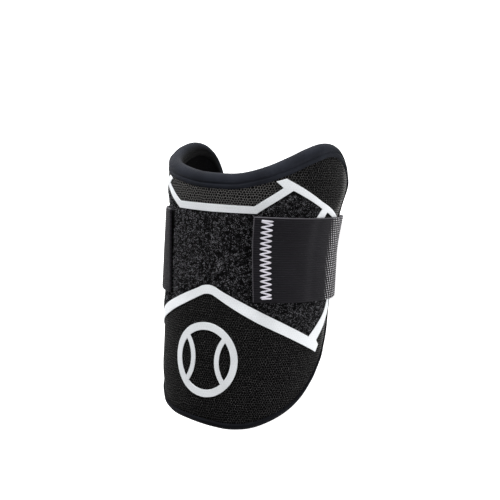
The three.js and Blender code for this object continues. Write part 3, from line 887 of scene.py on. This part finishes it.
class GUARD_OT_liner(Operator):
    """The foam pad with its jersey lining, sewn with a seam inside the binding"""

    bl_idname = "guard.liner"
    bl_label = "Padded Liner"

    def execute(self, context):
        sizes, finish, pattern = settings(context)

        def inner(points):
            inside = pattern.edge_distance(points)
            crown = LINING_CROWN * smoothstep(inside, 0, LINING_REACH)
            seam = bell(inside - LINING_SEAM_AT, LINING_SEAM_WIDTH) + 0.6 * bell(inside, 1.2 * MM)
            uneven = LINING_UNEVEN * np.sin(points[:, 0] * 131) * np.sin(points[:, 1] * 87 + 1)
            return pattern.liner_inner - crown + LINING_SEAM * seam + uneven

        bm = wall(field_sheet(pattern, LINER_CUTS), sizes.liner_thickness, pattern,
                  lambda points: np.full(len(points), pattern.liner_outer), inner)
        # Lining colour: partly its own black, partly painted shade of the pad's inside
        jersey = material_named("lining_jersey", jersey_material, finish.lining, finish.lining,
                                0.6 * MM, 0.01)
        piece = make_piece(bm, "pad_and_lining", jersey, ["padded_liner"])
        return {"FINISHED"}


def binding(pattern, first, last, name, material, replaced):
    """A rolled binding between two stations of the edge, with a groove at each seam."""
    sizes = pattern.sizes
    bm = unit_grid(last - first, BINDING_CUTS)
    grid = coordinates(bm)
    station = first + (grid[:, 0] + 1) / 2 * (last - first)
    turn = (grid[:, 1] + 1) / 2
    loop = np.vstack([np.hstack([pattern.edge, pattern.inward])] * 2)
    marks = np.arange(len(loop))
    x, y, width, inward_x, inward_y = (np.interp(station, marks, loop[:, k]) for k in range(5))

    # The section: a quarter round at the rim, then a slope down to the seam, above and below
    low, high = pattern.liner_inner - sizes.roll_bulge / 2, sizes.roll_bulge
    middle, rise = (low + high) / 2, (high - low) / 2
    radius = np.minimum(rise, 0.8 * width)
    upper = turn < SECTION_RIM
    from_rim = np.clip(np.abs(turn - SECTION_RIM) / SECTION_RIM, 0, 1)
    rounded = 0.42
    bend = np.clip(from_rim / rounded, 0, 1) * math.pi / 2
    rest = np.clip((from_rim - rounded) / (1 - rounded), 0, 1)
    inset = radius * (1 - np.cos(bend)) + rest * (width - radius)
    slope = (width - radius) / (sizes.collar_width - radius + 1e-9)
    settle = smoothstep(rest, 0.2, 1) * slope

    # Grooves at the seam and, on the wide collar, at a second seam beside it
    back = width - inset
    wide = smoothstep(width, 0.5 * sizes.collar_width, 0.7 * sizes.collar_width)
    second = SECOND_GROOVE * bell(back - SECOND_AT, SECOND_WIDTH) * wide
    groove = GROOVE * bell(back, GROOVE_WIDTH) + second
    ripple = 0.1 * MM * np.sin(station * 0.55 + 1.1 * np.sin(station * 0.13)) * np.sin(bend)
    face = rise * np.sin(bend)
    top = middle + face - sizes.roll_bulge * settle * 0.6 - groove * np.sin(bend) + ripple
    under = middle - face + (sizes.roll_bulge / 2) * settle + 0.5 * groove * np.sin(bend)
    height = np.where(upper, top, under)

    # The closing face inside the seam
    ending = np.clip((turn - SECTION_END) / (1 - SECTION_END), 0, 1)
    top_end = -0.5 * MM
    closing = pattern.liner_inner + (top_end - pattern.liner_inner) * ending
    height = np.where(turn > SECTION_END, closing, height)
    inset = np.where(turn > SECTION_END, width, inset)
    height = np.where(turn <= 1e-9, top_end, height)

    # Painted shade: share of the second colour on the arm side of the roll, and a darker tone over
    # the narrow piping
    layer = bm.verts.layers.float.new("arm_side")
    narrow = 1 - (width - sizes.piping_width) / (sizes.collar_width - sizes.piping_width)
    for vert, value in zip(bm.verts, np.maximum(smoothstep(turn, 0.5, 0.68), 0.7 * narrow)):
        vert[layer] = value
    flat = np.stack([x + inward_x * inset, y + inward_y * inset, height], axis=1)
    set_coordinates(bm, pattern.wrap(flat))
    along = station * (np.linalg.norm(np.diff(pattern.edge[:, :2], axis=0), axis=1).mean())
    set_uv(bm, np.stack([along, turn * 2 * (width + rise)], axis=1))
    close_tube(bm)
    return make_piece(bm, name, material, replaced)


class GUARD_OT_bindings(Operator):
    """The rolled collar round the upper rim and the narrow piping round the rest"""

    bl_idname = "guard.bindings"
    bl_label = "Collar and Piping"

    def execute(self, context):
        _, finish, pattern = settings(context)
        # The lining's colour doubles as the painted shade on the rolls' arm side
        jersey = material_named("binding_jersey", jersey_material, finish.jersey, finish.lining,
                                0.55 * MM, 0.05)
        binding(pattern, COLLAR_FROM, COLLAR_TO, "collar_roll", jersey, ["rolled_collar"])
        binding(pattern, COLLAR_TO - EDGE_STEPS, COLLAR_FROM, "piping_roll", jersey,
                ["edge_piping"])
        return {"FINISHED"}


def film_outlines(pattern):
    """The outlines of the upper and the lower film on the flat pattern."""
    upper = [*UPPER_FILM, *mirrored(UPPER_FILM, MIRRORED_RISE)]
    lower = [*LOWER_FILM, *mirrored(LOWER_FILM, 1, LEFT_FILM_END)]
    return [pattern.upper(*row) for row in upper], [pattern.lower(*row) for row in lower]


def pile_outline(pattern):
    """The outline of the pile panel on the flat pattern."""
    right = [pattern.upper(*row) for row in PILE_TOP] + [pattern.lower(*row) for row in PILE_BOTTOM]
    top = [pattern.upper(*row) for row in mirrored(PILE_TOP, MIRRORED_RISE)]
    bottom = [pattern.lower(*row) for row in mirrored(PILE_BOTTOM, 1)]
    return right + bottom + top


def outline_distance(points, outline):
    """Distance of flat points from the nearest side of an outline."""
    corners = np.array(outline)
    best = np.full(len(points), 1.0)
    for start, end in zip(corners, np.roll(corners, -1, axis=0)):
        side, offset = end - start, points[:, :2] - start
        share = np.clip(offset @ side / (side @ side), 0, 1)
        best = np.minimum(best, np.linalg.norm(offset - share[:, None] * side, axis=1))
    return best


def inside_outline(points, outline):
    """Which flat points lie inside an outline."""
    corners = np.array(outline)
    inside = np.zeros(len(points), bool)
    for (x, y), (next_x, next_y) in zip(corners, np.roll(corners, -1, axis=0)):
        crossing = (y > points[:, 1]) != (next_y > points[:, 1])
        slope = (next_x - x) / (next_y - y or 1)
        inside ^= crossing & (points[:, 0] < x + (points[:, 1] - y) * slope)
    return inside


def curl(radius, thread, turn, steps):
    """One bent loop of pile, as a mesh for the scatter."""
    centre, upright = (0, 0, 0), Matrix.Rotation(math.pi / 2, 3, "X")
    lean = Matrix.Rotation((turn - math.pi) / 2, 3, "Z")
    bm = bmesh.new()
    made = bmesh.ops.create_circle(bm, segments=3, radius=thread, cap_ends=False)
    bmesh.ops.rotate(bm, verts=made["verts"], cent=centre, matrix=upright)
    bmesh.ops.translate(bm, verts=made["verts"], vec=(radius, 0, 0))
    bmesh.ops.rotate(bm, verts=bm.verts, cent=centre, matrix=lean)
    bmesh.ops.spin(bm, geom=bm.verts[:] + bm.edges[:], cent=centre, axis=(0, 0, 1),
                   angle=-turn, steps=steps, use_duplicate=False)
    fill_ends(bm)
    bmesh.ops.recalc_face_normals(bm, faces=bm.faces)
    bmesh.ops.rotate(bm, verts=bm.verts, cent=centre, matrix=upright)
    for face in bm.faces:
        face.smooth = True
    return bpy.data.objects.new("curl", new_mesh(bm, "curl"))


def scatter_tree(name, loop_object, spacing, seed, lean):
    """Sets curls at even but random places of a sheet, each turned and sized at random."""
    tree = bpy.data.node_groups.new(name, "GeometryNodeTree")
    for end in ("INPUT", "OUTPUT"):
        tree.interface.new_socket("Geometry", in_out=end, socket_type="NodeSocketGeometry")
    t = Tree(tree)

    def random(low, high, offset):
        inputs = {2: low, 3: high, "Seed": seed + offset}
        return t.add("FunctionNodeRandomValue", inputs, data_type="FLOAT").outputs[1]

    sheet = t.add("NodeGroupInput").outputs[0]
    named = t.add("GeometryNodeInputNamedAttribute", {"Name": "open"}, data_type="FLOAT")
    open_part = named.outputs["Attribute"]
    inputs = {"Mesh": sheet, "Distance Min": spacing, "Density Max": 2 / spacing**2,
              "Density Factor": open_part, "Seed": seed}
    spots = t.add("GeometryNodeDistributePointsOnFaces", inputs,
                  distribute_method="POISSON").outputs
    inputs = {0: (lean, -0.5, -math.pi), 1: (1.5, 0.5, math.pi), "Seed": seed + 1}
    spin = t.add("FunctionNodeRandomValue", inputs, data_type="FLOAT_VECTOR").outputs[0]
    inputs = {"Rotation": spots["Rotation"],
              "Rotate By": t.add("FunctionNodeEulerToRotation", {0: spin}).outputs[0]}
    turned = t.add("FunctionNodeRotateRotation", inputs, rotation_space="LOCAL").outputs[0]
    source = t.add("GeometryNodeObjectInfo", {"Object": loop_object}).outputs["Geometry"]
    inputs = {"Points": spots["Points"], "Instance": source, "Rotation": turned,
              "Scale": t.times(random(0.7, 1.3, 2), open_part)}
    curls = t.add("GeometryNodeInstanceOnPoints", inputs).outputs[0]
    inputs = {"Geometry": curls, "Name": "shade", "Value": random(0.0, 1.0, 3)}
    stored = t.add("GeometryNodeStoreNamedAttribute", inputs, data_type="FLOAT", domain="INSTANCE")
    real = t.add("GeometryNodeRealizeInstances", {"Geometry": stored.outputs[0]}).outputs[0]
    t.add("NodeGroupOutput", {0: real})
    return tree


def scatter(name, sheet, tree, material):
    """Runs a scatter on a sheet and keeps the result as a plain mesh."""
    holder = new_object(name, sheet)
    holder.modifiers.new("Scatter", "NODES").node_group = tree
    evaluated = holder.evaluated_get(bpy.context.evaluated_depsgraph_get())
    mesh = bpy.data.meshes.new_from_object(evaluated)
    bpy.data.objects.remove(holder)
    mesh.name = name
    mesh.materials.clear()
    mesh.materials.append(material)
    piece = new_object(name, mesh)
    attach(piece, "root")


def pile_sheet(pattern):
    """The sheet that the loops stand on, open where neither the strap nor a film lies."""
    sizes, outline = pattern.sizes, pile_outline(pattern)
    bm = bmesh.new()
    outline_face(bm, outline)
    if bm.faces[:][0].normal.z < 0:
        bmesh.ops.reverse_faces(bm, faces=bm.faces)
    bmesh.ops.triangulate(bm, faces=bm.faces)
    slice_plate(bm, PILE_CUTS)
    points = coordinates(bm)
    angle = points[:, 0] / sizes.sleeve_radius
    covered = np.abs(points[:, 1] - sizes.strap_level) < sizes.strap_width / 2 - UNDER_STRAP
    covered &= ((angle > sizes.strap_front_end + PAST_FRONT_END)
                | (angle < sizes.strap_sewn_end - PAST_SEWN_END))
    covered |= outline_distance(points, outline) < EDGE_GAP
    for film in film_outlines(pattern):
        covered |= inside_outline(points, film) | (outline_distance(points, film) < FILM_GAP)
    layer = bm.verts.layers.float.new("open")
    for vert, hidden in zip(bm.verts, covered):
        vert[layer] = 0.0 if hidden else 1.0
    points[:, 2] = pattern.relief(points) + PILE_LIFT
    set_coordinates(bm, pattern.wrap(points))
    bm.normal_update()
    if sum(face.normal.z for face in bm.faces) < 0:
        bmesh.ops.reverse_faces(bm, faces=bm.faces)
    return new_mesh(bm, "pile_sheet")


class GUARD_OT_pile(Operator):
    """The pile panel that the strap hooks to: a base cloth and its brushed loops"""

    bl_idname = "guard.pile"
    bl_label = "Pile Panel"

    def execute(self, context):
        _, finish, pattern = settings(context)
        material = material_named("pile_cloth", pile_material, finish)
        base = plate(pile_outline(pattern), BASE_HEIGHT, BASE_BEVEL, BASE_CUTS)
        lay_on_cover(base, pattern, BASE_LIFT)
        make_piece(base, "pile_base", material, ["loop_panel"])
        sheet = pile_sheet(pattern)
        for name, radius, thread, turn, steps, spacing, seed, lean in PILE_LAYERS:
            loop = curl(radius, thread, math.radians(turn), steps)
            scatter(name, sheet, scatter_tree(name, loop, spacing, seed, lean), material)
        return {"FINISHED"}


class GUARD_OT_films(Operator):
    """The light film stripes above and below the strap"""

    bl_idname = "guard.films"
    bl_label = "Film Stripes"

    def execute(self, context):
        _, finish, pattern = settings(context)
        film = material_named("bonded_film", film_material, finish)
        pieces = (("upper_film", "upper_stripes"), ("lower_film", "lower_stripes"))
        for (name, replaced), outline in zip(pieces, film_outlines(pattern)):
            bm = plate(outline, FILM_HEIGHT, FILM_BEVEL, FILM_CUTS)
            lay_on_cover(bm, pattern, FILM_LIFT)
            make_piece(bm, name, film, [replaced], smooth=False)
        return {"FINISHED"}


def ball_plate(diameter, stroke, height, bevel, spacing):
    """A ring with two curved seams inside it, like a ball, as one raised plate."""
    bm = bmesh.new()
    rims = [bmesh.ops.create_circle(bm, segments=96, radius=radius)["verts"]
            for radius in (diameter / 2, diameter / 2 - stroke)]
    edges = [edge for rim in rims for edge in {e for vert in rim for e in vert.link_edges}]
    bmesh.ops.bridge_loops(bm, edges=edges)
    radius = (diameter - stroke) / 2
    turns = np.linspace(-math.pi / 4, math.pi / 4, 24)
    for facing in (1, -1):
        sides = []
        for offset in (-0.35 * stroke, 0.35 * stroke):
            x = facing * ((radius + offset) * np.cos(turns) - radius * math.sqrt(2))
            sides.append(list(zip(x, (radius + offset) * np.sin(turns))))
        for i in range(len(turns) - 1):
            corners = [sides[0][i], sides[1][i], sides[1][i + 1], sides[0][i + 1]]
            bm.faces.new([bm.verts.new((x, y, -0.01 * MM)) for x, y in corners])
    bmesh.ops.remove_doubles(bm, verts=bm.verts, dist=1e-7)
    for face in bm.faces:
        if face.normal.z < 0:
            face.normal_flip()
    raise_plate(bm, height, bevel)
    slice_plate(bm, spacing)
    return bm


class GUARD_OT_motifs(Operator):
    """The ball emblem on the front and the smaller ball mark on the strap"""

    bl_idname = "guard.motifs"
    bl_label = "Ball Motifs"

    def execute(self, context):
        sizes, finish, pattern = settings(context)
        film = material_named("bonded_film", film_material, finish)
        bm = ball_plate(sizes.motif_diameter, sizes.motif_stroke, FILM_HEIGHT, FILM_BEVEL,
                        EMBLEM_CUTS)
        bmesh.ops.translate(bm, verts=bm.verts, vec=(*pattern.lower(0, sizes.motif_drop), 0))
        lay_on_cover(bm, pattern, FILM_LIFT)
        make_piece(bm, "front_emblem", film, ["ball_emblem"], smooth=False)
        bm = ball_plate(sizes.mark_diameter, sizes.mark_stroke, MARK_HEIGHT, MARK_BEVEL,
                        FILM_CUTS)
        points = coordinates(bm)
        set_uv(bm, points)
        from_end = (sizes.strap_sewn_end - sizes.mark_angle) * pattern.strap_radius
        distance = pattern.way[-1, 0] - from_end + points[:, 0]
        height = sizes.strap_thickness / 2 + MARK_LIFT + points[:, 2]
        set_coordinates(bm, pattern.on_strap(distance, sizes.strap_level + points[:, 1], height))
        make_piece(bm, "mark_print", film, ["strap_mark"], smooth=False)
        return {"FINISHED"}


def strap_band(pattern):
    """The elastic: ribs along both faces, a rounded edge all round and a slightly uneven lie."""
    sizes = pattern.sizes
    ribs = round(sizes.strap_width / sizes.rib_pitch)
    bm, grid, outside = unit_slab(STRAP_CUTS, CUTS_PER_RIB * ribs)
    level = sizes.strap_level + grid[:, 1] / 2 * sizes.strap_width
    distance = pattern.strap_flat((grid[:, 0] + 1) / 2, level)
    rib = np.abs(np.sin(math.pi * ((level - pattern.strap_bottom) / sizes.rib_pitch)))
    half_strap = sizes.strap_width / 2
    away = np.abs(level - sizes.strap_level)
    selvedge = smoothstep(away, half_strap - SELVEDGE_WIDTH, half_strap)
    end = np.minimum(distance - distance.min(), distance.max() - distance)
    round_off = SELVEDGE_DROP * selvedge + END_DROP * (1 - smoothstep(end, 0, END_WIDTH))
    height = sizes.strap_thickness / 2 - sizes.rib_height + sizes.rib_height * rib - round_off
    height = np.where(outside, 1, -1) * height + pattern.strap_lift(distance)
    sway = SELVEDGE_SWAY * np.sin(distance * 90 + level * 60) * selvedge
    along = (grid[:, 0] + 1) / 2 * pattern.way[-1, 0]
    set_uv(bm, np.stack([along, level - pattern.strap_bottom], axis=1))
    set_coordinates(bm, pattern.on_strap(distance, level, height + np.abs(sway)))
    return bm


def hook_band(pattern):
    """The hook patch under the strap's front end."""
    sizes = pattern.sizes
    bm, grid, outside = unit_slab(*HOOK_CUTS)
    level = sizes.strap_level + grid[:, 1] * (sizes.strap_width / 2 - sizes.hook_inset)
    distance = pattern.strap_flat(0, level) + sizes.hook_inset
    distance = distance + (grid[:, 0] + 1) / 2 * sizes.hook_length
    height = np.where(outside, sizes.hook_thickness, 0) - sizes.strap_thickness / 2
    set_uv(bm, np.stack([distance, level], axis=1))
    set_coordinates(bm, pattern.on_strap(distance, level, height))
    return bm


class GUARD_OT_strap(Operator):
    """The ribbed elastic strap with its hook patch"""

    bl_idname = "guard.strap"
    bl_label = "Elastic Strap"

    def execute(self, context):
        sizes, finish, pattern = settings(context)
        weave = material_named("elastic_weave", elastic_material, finish)
        strap = make_piece(strap_band(pattern), "strap_elastic", weave,
                           ["elastic_strap"])
        tape = material_named("moulded_tape", plain_material, finish.hook, 0.55, 400.0)
        make_piece(hook_band(pattern), "hook_tape", tape, ["hook_patch"], smooth=False)
        return {"FINISHED"}


def thread_tube(pattern, places, radius):
    """A round thread over the strap through places given as distance, level and height."""
    bm = unit_grid(len(places) - 1, THREAD_SIDES)
    grid = coordinates(bm)
    index = (grid[:, 0] + 1) / 2 * (len(places) - 1)
    turn = (grid[:, 1] + 1) * math.pi
    step = np.gradient(places, axis=0)
    aside = np.stack([-step[:, 1], step[:, 0]], axis=1)
    aside /= np.linalg.norm(aside, axis=1)[:, None] + 1e-12
    marks = np.arange(len(places))
    distance, level, height, side_x, side_y = (
        np.interp(index, marks, column) for column in (*places.T, *aside.T))
    set_uv(bm, np.stack([index * 0.2 * MM, turn * radius], axis=1))
    reach = radius * np.cos(turn)
    base = pattern.sizes.strap_thickness / 2 + pattern.strap_lift(distance)
    height = base + height + 0.6 * radius * np.sin(turn)
    points = pattern.on_strap(distance + side_x * reach, level + side_y * reach, height)
    set_coordinates(bm, points)
    close_tube(bm)
    return bm


class GUARD_OT_stitches(Operator):
    """The light zigzag stitch that holds the hook patch, with a bar tack at each end"""

    bl_idname = "guard.stitches"
    bl_label = "Zigzag Stitch"

    def execute(self, context):
        sizes, finish, pattern = settings(context)
        top, bottom = 37.4 * MM, -5.2 * MM
        near, far = 4.7 * MM, 11.3 * MM
        lift, dip, thread = 0.12 * MM, 0.35 * MM, 0.45 * MM
        steps, tack = 12, 0.009
        marks = np.linspace(0, 1, 2 * sizes.zigzag_teeth + 1)
        marks = np.concatenate([[-2 * tack, -tack], marks, [1 + tack, 1 + 2 * tack]])
        rows = []
        for k in range(len(marks) - 1):
            for share in np.arange(steps) / steps:
                level = top + (bottom - top) * (marks[k] + (marks[k + 1] - marks[k]) * share)
                across = share if k % 2 == 0 else 1 - share
                inset = near + (far - near) * across
                height = lift - dip * (1 - math.sin(math.pi * share)) ** 2
                rows.append((inset + pattern.strap_flat(0, level), level, height))
        bm = thread_tube(pattern, np.array(rows), thread)
        white = material_named("sewing_thread", plain_material, finish.thread, 0.6, 2500.0)
        make_piece(bm, "zigzag_stitch", white)
        return {"FINISHED"}


def area_light(name, place, target, size, power):
    lamp = new_object(name, bpy.data.lights.new(name, "AREA"))
    lamp.data.size, lamp.data.energy = size, power
    lamp.location = place
    lamp.rotation_mode = "QUATERNION"
    lamp.rotation_quaternion = (Vector(target) - Vector(place)).to_track_quat("-Z", "Y")


class GUARD_OT_stage(Operator):
    """Pale floor, soft light and the camera at the photograph's angle"""

    bl_idname = "guard.stage"
    bl_label = "Stage"

    def execute(self, context):
        sizes, _, pattern = settings(context)
        bm = bmesh.new()
        bmesh.ops.create_grid(bm, x_segments=1, y_segments=1, size=4)
        floor = new_object("floor", new_mesh(bm, "floor"))
        pale = bpy.data.materials.new("pale_floor")
        pale.use_nodes = True
        shader = pale.node_tree.nodes["Principled BSDF"].inputs
        for socket, value in (("Base Color", (0.9, 0.9, 0.9, 1)), ("Emission Color", (1, 1, 1, 1)),
                              ("Emission Strength", 0.85), ("Roughness", 0.9)):
            shader[socket].default_value = value
        floor.data.materials.append(pale)

        world = bpy.data.worlds.new("studio")
        world.use_nodes = True
        sky = world.node_tree.nodes["Background"].inputs
        sky["Color"].default_value, sky["Strength"].default_value = (1, 1, 1, 1), 0.3
        context.scene.world = world
        context.scene.view_settings.view_transform = "Standard"

        # The camera's angles to the guard, and its middle, off by some pixels of the photograph
        side, rise, roll = math.radians(29), math.radians(5), math.radians(3)
        pixel, distance = MM / 1.673, 0.83
        level = math.cos(rise)
        back = Vector((math.sin(side) * level, math.sin(rise), math.cos(side) * level))
        right = Vector((0, 1, 0)).cross(back).normalized()
        up = back.cross(right)
        right, up = (right * math.cos(roll) + up * math.sin(roll),
                     up * math.cos(roll) - right * math.sin(roll))
        middle = Vector((sizes.axis_offset, -4.2 * MM, pattern.axis_height))
        centre = middle - right * (3 * pixel) + up * (35 * pixel)
        camera = new_object("camera", bpy.data.cameras.new("camera"))
        camera.data.lens, camera.data.sensor_width = 100, 36
        camera.matrix_world = Matrix((right, up, back)).transposed().to_4x4()
        camera.location = centre + back * distance
        context.scene.camera = camera

        # Each light with its place, the side of its square in metres and its power in watts
        for name, place, size, power in (
            ("front_fill", centre + back * 0.9 + up * 0.35 - right * 0.65, 0.9, 5.5),
            ("top_key", centre + up * 0.8 + back * 0.3 - right * 0.35, 0.35, 11),
            ("right_rim", (0.8, 0.05, 0.1), 0.3, 3.4),
        ):
            area_light(name, place, centre, size, power)
        return {"FINISHED"}


STEPS = (
    GUARD_OT_liner, GUARD_OT_cover, GUARD_OT_bindings, GUARD_OT_pile, GUARD_OT_films,
    GUARD_OT_motifs, GUARD_OT_strap, GUARD_OT_stitches, GUARD_OT_stage,
)


class GUARD_PT_panel(Panel):
    """Sizes, colours and steps of the guard"""

    bl_idname = "GUARD_PT_panel"
    bl_label = "Elbow Guard"
    bl_space_type = "VIEW_3D"
    bl_region_type = "UI"
    bl_category = "Elbow Guard"

    def draw(self, context):
        for group in (context.scene.guard_sizes, context.scene.guard_finish):
            for name in group.__annotations__:
                self.layout.prop(group, name)
        for step in STEPS:
            self.layout.operator(step.bl_idname)


CLASSES = (GuardSizes, GuardFinish, *STEPS, GUARD_PT_panel)


def register():
    for item in CLASSES:
        bpy.utils.register_class(item)
    bpy.types.Scene.guard_sizes = PointerProperty(type=GuardSizes)
    bpy.types.Scene.guard_finish = PointerProperty(type=GuardFinish)


def unregister():
    del bpy.types.Scene.guard_finish
    del bpy.types.Scene.guard_sizes
    for item in reversed(CLASSES):
        bpy.utils.unregister_class(item)


def main():
    register()
    for step in STEPS:
        area, name = step.bl_idname.split(".")
        getattr(getattr(bpy.ops, area), name)()


if __name__ == "__main__":
    main()
